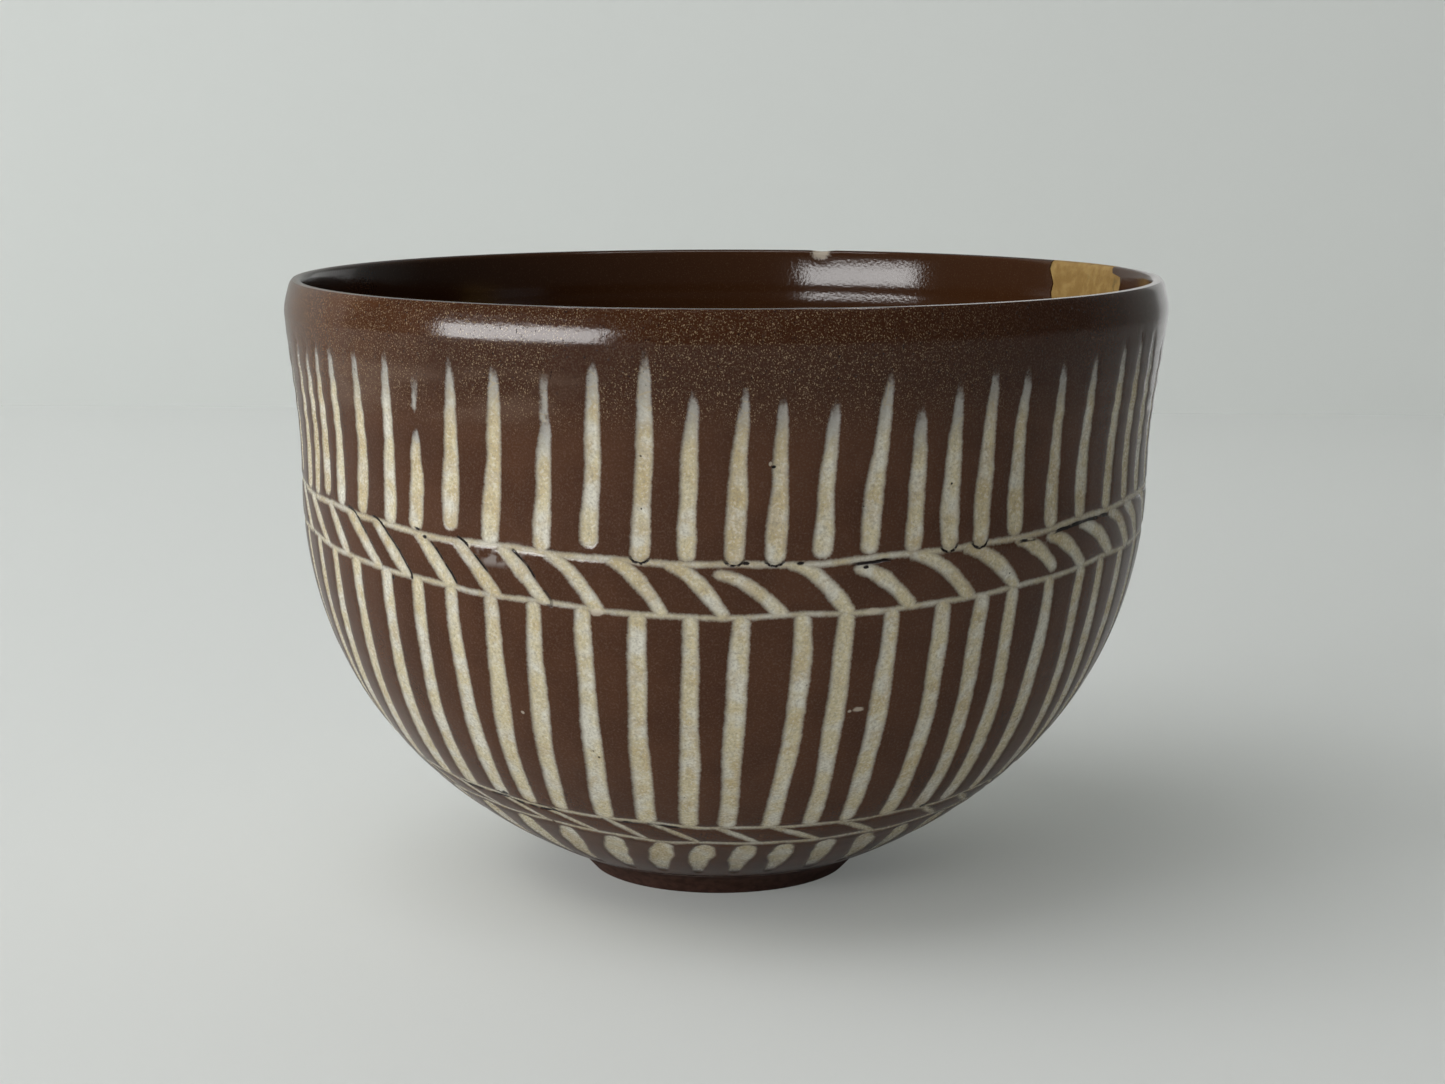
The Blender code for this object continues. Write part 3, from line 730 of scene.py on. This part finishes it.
GLAZE_ROUGHNESS = 0.11
GLAZE_IOR = 1.37
CRAZING_SIZE = 1.7
PIT_SPACING = 3.6
GLAZE_END = (4.1, 3.5)

glaze = Finish("glaze_over_slip")
across = glaze.add('ShaderNodeSeparateXYZ', inputs={0: glaze.place}, output="X") + LEAN
across = across - glaze.up * (LEAN / height)
back = glaze.add('ShaderNodeSeparateXYZ', inputs={0: glaze.place}, output="Y")
turn = across.math('ARCTAN2', across, back * -1.0) * math.degrees(1.0)
facing = abs(turn).between(172.0, 140.0)
stroke = glaze.field("stroke")
slash = glaze.field("slash")
side = glaze.field("slash_side")
upper = glaze.field("upper_line")
under = glaze.field("under_line")
in_upper_line = UPPER_LINE_WIDTH / 2.0 - abs(upper)
in_under_line = UNDER_LINE_WIDTH / 2.0 - abs(under)
lower_lines = abs(glaze.field("lower_line")).least(abs(glaze.field("foot_line")))
in_lower_lines = LOWER_LINE_WIDTH / 2.0 - lower_lines
fine = glaze.noise(0.30, 3.0)
grain = glaze.noise(0.26, 2.0)
grit = glaze.noise(0.42, 2.0)
uneven = glaze.noise(1.5)
patches = glaze.noise(3.4, 2.0)
slip_inside = stroke.most(slash).most(in_upper_line).most(in_under_line).most(in_lower_lines)
slip_inside = slip_inside + (fine - 0.5) * 0.36 + (uneven - 0.5) * 0.30
cover = glaze.field("cover") + (glaze.noise(0.6, 3.0) - 0.5) * 0.7
slip = slip_inside.between(-0.20, 0.22) * cover.between(0.05, 0.70)

edge = slip_inside.between(0.62, 0.05)
stained = (glaze.noise(2.6, 3.0) - 0.62 + glaze.field("stain") * 0.24).between(-0.08, 0.14)
slip_colour = glaze.mix(patches.between(0.42, 0.62), SLIP_CREAM, SLIP_WHITE)
slip_colour = glaze.mix(stained * 0.6, slip_colour, SLIP_TAN)
slip_colour = glaze.mix(fine.between(0.44, 0.70) * 0.45, slip_colour, SLIP_EDGE)
slip_colour = glaze.mix(grit.between(0.54, 0.66) * 0.30, slip_colour, SLIP_EDGE)
slip_colour = glaze.mix(grit.between(0.46, 0.34) * 0.35, slip_colour, SLIP_FROST)
slip_colour = glaze.mix(edge * 0.72, slip_colour, SLIP_EDGE)
slip_colour = glaze.mix(cover.between(2.1, 0.5) * 0.85, slip_colour, SLIP_TIP)
crazing = glaze.add(
    'ShaderNodeTexVoronoi', {"feature": 'DISTANCE_TO_EDGE'},
    {"Vector": glaze.place, "Scale": 1.0 / CRAZING_SIZE}, output="Distance",
).between(0.05, 0.015) * glaze.noise(7.0).between(0.48, 0.60)
slip_colour = glaze.mix(crazing * 0.35, slip_colour, SLIP_TAN)

# The glaze is darker towards the rim, and at the left rusty under the lip; the greyish veil below
# that is painted sheen on the lit left side. What is measured by angle fades out towards the very back
mottle = glaze.noise(9.0, 3.0)
outer_face = glaze.field("outer_face")
top = glaze.up.between(66.0, 76.0) * (turn + (mottle - 0.5) * 40.0).between(-66.0, -30.0) * facing
brown = glaze.mix((mottle.between(0.40, 0.66) * 0.4).most(top * 0.88), GLAZE_BROWN, GLAZE_DARK)
brown = glaze.mix(grain.between(0.46, 0.76) * 0.42, brown, GLAZE_GREY)
rust = glaze.up.between(72.0, 75.0) * turn.between(-40.0, -52.0) * glaze.noise(5.0).between(0.44, 0.56)
rust = rust * facing
brown = glaze.mix(rust * 0.7, brown, GLAZE_RUST)
# Painted sheen: a greyish patch under the lip on the left, where the light falls.
painted_sheen = glaze.up.between(68.5, 71.5) * glaze.up.between(77.0, 75.0) * turn.between(-12.0, -22.0) * facing
painted_sheen = painted_sheen * glaze.noise(8.0, 3.0, (0.5, 0.5, 1.8)).between(0.38, 0.62)
brown = glaze.mix(painted_sheen * 0.45, brown, GLAZE_GREY)
brown = glaze.mix(outer_face, GLAZE_INSIDE, brown)
# Painted reflection: a pale grey patch at the middle left of the upper band stands for a gleam on the
# glaze.
painted_reflection = glaze.up.between(51.5, 52.5) * glaze.up.between(55.5, 54.0) * outer_face
painted_reflection = painted_reflection * turn.between(-32.0, -29.5) * turn.between(-22.5, -26.0) * uneven.between(0.42, 0.60)
brown = glaze.mix(painted_reflection * 0.6, brown, PAINTED_REFLECTION_GREY)
speck_zone = glaze.up.between(67.0, 74.0) * turn.between(50.0, 10.0) * facing * outer_face
speck_zone = speck_zone * (glaze.noise(11.0, 2.0) + 0.12).between(0.40, 0.60)
specks = glaze.noise(0.16, 1.0, (1.0, 1.0, 0.75)).between(0.60, 0.70) * (speck_zone * 0.75 + 0.07)
brown = glaze.mix(specks, brown, GLAZE_SPECK)
colour = glaze.mix(slip, brown, slip_colour)

# Here and there the slip has shrunk from the side of its cut and left a crack, and the glaze
# has opened in small pits; the shade in these is painted in nearly black. Marks are given by angle, height,
# size and their spread along the wall.
PITS = (
    (2.6, 53.5, 0.28, 0.5), (9.0, 53.4, 0.26, 0.5), (17.0, 52.6, 0.28, 0.7), (31.6, 13.5, 0.30, 1.0),
    (-39.3, 54.5, 0.30, 0.6), (-40.3, 18.4, 0.42, 0.6), (40.0, 16.3, 0.40, 0.5), (43.7, 15.3, 0.32, 0.7),
    (66.7, 49.6, 0.30, 1.0), (-45.7, 48.5, 0.34, 1.0), (-17.6, 26.8, 0.38, 1.6), (5.6, 65.2, 0.26, 0.7),
    (-47.3, 35.2, 0.22, 1.0), (-9.7, 66.4, 0.22, 1.0), (-9.7, 60.0, 0.20, 1.0), (57.5, 37.5, 0.30, 1.3),
    (52.8, 30.8, 0.28, 1.3), (48.6, 28.4, 0.30, 1.5), (63.5, 44.0, 0.28, 1.3), (27.8, 62.2, 0.20, 1.0),
)
SCUFFS = (
    (18.0, 34.0, 0.42, 0.5), (16.8, 33.8, 0.26, 0.8), (-32.3, 54.2, 0.50, 1.0), (-15.3, 47.0, 0.60, 0.6),
    (18.2, 47.0, 0.60, 0.5), (5.2, 65.6, 0.34, 1.3), (-27.6, 32.6, 0.30, 1.0), (-24.8, 30.2, 0.25, 1.0),
)


def on_wall(angle, level):
    """A point of the outside, leaned with the bowl."""
    radius = float(np.interp(level, wall[:, 1], wall[:, 0]))
    bearing = math.radians(angle)
    lean = LEAN * (1.0 - level / height)
    return radius * math.sin(bearing) - lean, -radius * math.cos(bearing), level


def marks(spots):
    """All the marks of a list in one mask."""
    mask = 0.0
    for angle, level, size, spread in spots:
        mark = glaze.near(on_wall(angle, level), size, (spread, spread, 1.0))
        mask = mark.most(mask)
    return mask


def arc(low, high):
    """1 between two angles from the front."""
    return turn.between(low - 0.6, low + 0.6) * turn.between(high + 0.6, high - 0.6)


broken = glaze.noise(3.2, 2.0).between(0.46, 0.53)
ragged = glaze.noise(0.9, 2.0).between(0.36, 0.48)
crumble = (fine - 0.5) * 0.25 + (uneven - 0.5) * 0.2
beside_slash = (slash + crumble).between(-0.36, -0.22) * slash.between(0.08, 0.0)
cracks = beside_slash * side.between(0.1, 0.5) * turn.between(-19.0, -23.0) * facing * broken
round_stroke = (stroke + crumble).between(-0.36, -0.22) * stroke.between(0.06, -0.02)
round_ends = arc(-11.5, -8.0).most(arc(-0.5, 2.8)).most(arc(4.3, 7.7))
round_ends = round_ends.most(arc(26.2, 29.4)).most(arc(30.8, 33.8))
by_the_line = upper.between(0.8, 0.1) * upper.between(-1.4, -1.0) * ragged
cracks = cracks.most(round_stroke * round_ends * by_the_line)
below = upper + UPPER_LINE_WIDTH / 2.0 + (uneven - 0.5) * 0.4
shrunk = below.between(0.14, 0.04) * below.between(-0.40, -0.24)
cracks = cracks.most(shrunk * (arc(15.5, 20.0).most(arc(38.7, 62.0) * broken)))
over_foot = glaze.field("lower_line") + LOWER_LINE_WIDTH / 2.0
opened = over_foot.between(0.14, 0.04) * (over_foot + crumble).between(-0.36, -0.20)
cracks = cracks.most(opened * arc(-50.0, -5.0) * broken)
pits = marks(PITS)
pinholes = glaze.add(
    'ShaderNodeTexVoronoi', inputs={"Vector": glaze.place, "Scale": 1.0 / PIT_SPACING}, output="Distance",
).between(0.050, 0.025) * glaze.noise(11.0).between(0.50, 0.60) * slip
pores = glaze.noise(0.34, 1.0).between(0.70, 0.76) * glaze.up.between(72.0, 76.0) * outer_face
shaded_hollows = cracks.most(pits).most(pinholes).most(pores * 0.8)
flaked = glaze.near(FLAKE, FLAKE_SIZE, (0.85, 0.85, 1.3))
colour = glaze.mix(marks(SCUFFS) * 0.55, colour, CLAY_PALE)
colour = glaze.mix(flaked * 0.55, colour, CLAY_PALE)
# Painted shade: cracks, pits, pinholes and pores are coloured nearly black for the shade inside them.
colour = glaze.mix(shaded_hollows, colour, CREVICE_SHADE)

bare = (glaze.up + (glaze.noise(2.5) - 0.5) * 1.0).between(*GLAZE_END)
clay = glaze.mix(glaze.noise(1.1, 4.0).between(0.35, 0.7), CLAY_RED, GLAZE_DARK)
colour = glaze.mix(bare, colour, clay)
glaze.put("Base Color", colour)
roughness = GLAZE_ROUGHNESS + bare * 0.65 + slip * 0.14 + outer_face * (grain - 0.35) * 0.14
glaze.put("Roughness", roughness + flaked * 0.5)
relief = glaze.noise(0.45, 2.0) * 0.016 + glaze.noise(6.0, 2.0, (0.12, 0.12, 1.6)) * 0.12 * outer_face
relief = relief - slip_inside.between(-0.20, 0.30) * 0.05 - shaded_hollows * 0.15
bump = glaze.add('ShaderNodeBump', inputs={"Strength": 1.0, "Distance": MM, "Height": relief})
glaze.put("Normal", bump)
glaze.shader.inputs["IOR"].default_value = GLAZE_IOR
bowl.data.materials.clear()
bowl.data.materials.append(glaze.material)
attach(bowl, "root")
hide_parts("bowl")

# The repair is a filling of lacquer, built up in the chip, rubbed flush with the lip and faced
# with gold powder. It is worn matt, with a greenish-brown stain near its middle.
GOLD = (0.29, 0.170, 0.044, 1.0)
GOLD_PALE = (0.36, 0.230, 0.070, 1.0)
GOLD_STAIN = (0.13, 0.095, 0.03, 1.0)

repair_places = np.empty(len(repair.data.vertices) * 3)
repair.data.vertices.foreach_get("co", repair_places)
repair_places = repair_places.reshape(-1, 3)
repair_places[:, 0] -= LEAN * MM * (1.0 - repair_places[:, 2] / (height * MM))
repair.data.vertices.foreach_set("co", repair_places.ravel())
repair.data.update()
bpy.ops.object.select_all(action='DESELECT')
repair.select_set(True)
bpy.context.view_layer.objects.active = repair
bpy.ops.object.shade_smooth_by_angle(angle=SMOOTH_BELOW)
gold = Finish("worn_gold_lacquer")
brushed = gold.noise(1.6, 4.0)
gold_colour = gold.mix(brushed.between(0.40, 0.68), GOLD, GOLD_PALE)
gold_colour = gold.mix(gold.noise(2.4, 3.0).between(0.58, 0.74) * 0.7, gold_colour, GOLD_STAIN)
gold.put("Base Color", gold_colour)
gold.put("Metallic", 0.35 - brushed * 0.2)
gold.put("Roughness", 0.42 + brushed * 0.2)
gold_relief = gold.noise(0.6, 3.0) * 0.05 + brushed * 0.05
bump = gold.add('ShaderNodeBump', inputs={"Strength": 1.0, "Distance": MM, "Height": gold_relief})
gold.put("Normal", bump)
repair.data.materials.clear()
repair.data.materials.append(gold.material)
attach(repair, "root")
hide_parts("gold_repair")
